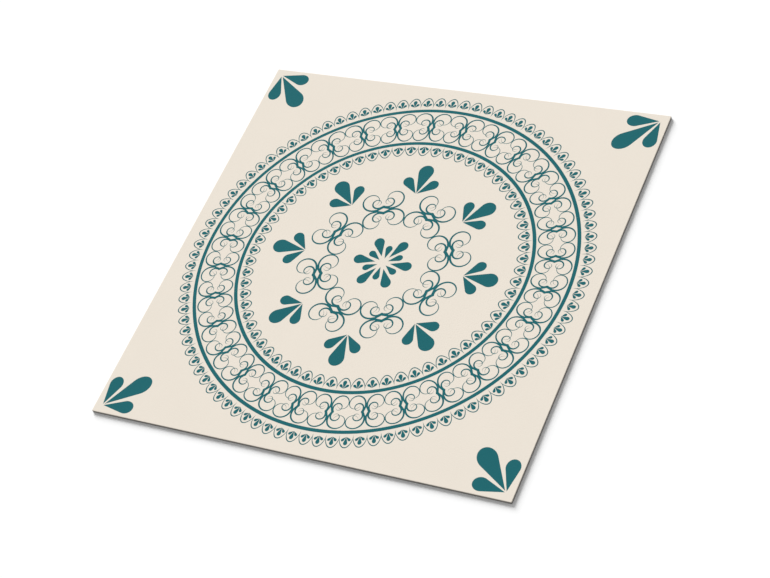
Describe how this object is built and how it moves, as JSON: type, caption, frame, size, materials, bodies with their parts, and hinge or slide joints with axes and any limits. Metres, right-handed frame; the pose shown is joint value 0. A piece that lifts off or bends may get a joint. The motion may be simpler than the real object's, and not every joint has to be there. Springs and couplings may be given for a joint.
{
  "type": "vinyl floor tile",
  "caption": "Square vinyl floor tile with a printed scrollwork medallion, lace rings and corner sprays in teal on cream; flat back for bonding, edges that butt.",
  "frame": {"origin": "middle of the back face, on the floor that the tile lies on", "axes": "+Z out of the printed face, +X to the tile's right edge and +Y to its top edge as the print is seen"},
  "size_m": [0.3048, 0.3048, 0.002],
  "materials": {
    "vinyl": "matte, cream with a teal print"
  },
  "bodies": {
    "root": {"vinyl_tile": "vinyl"}
  },
  "joints": []
}
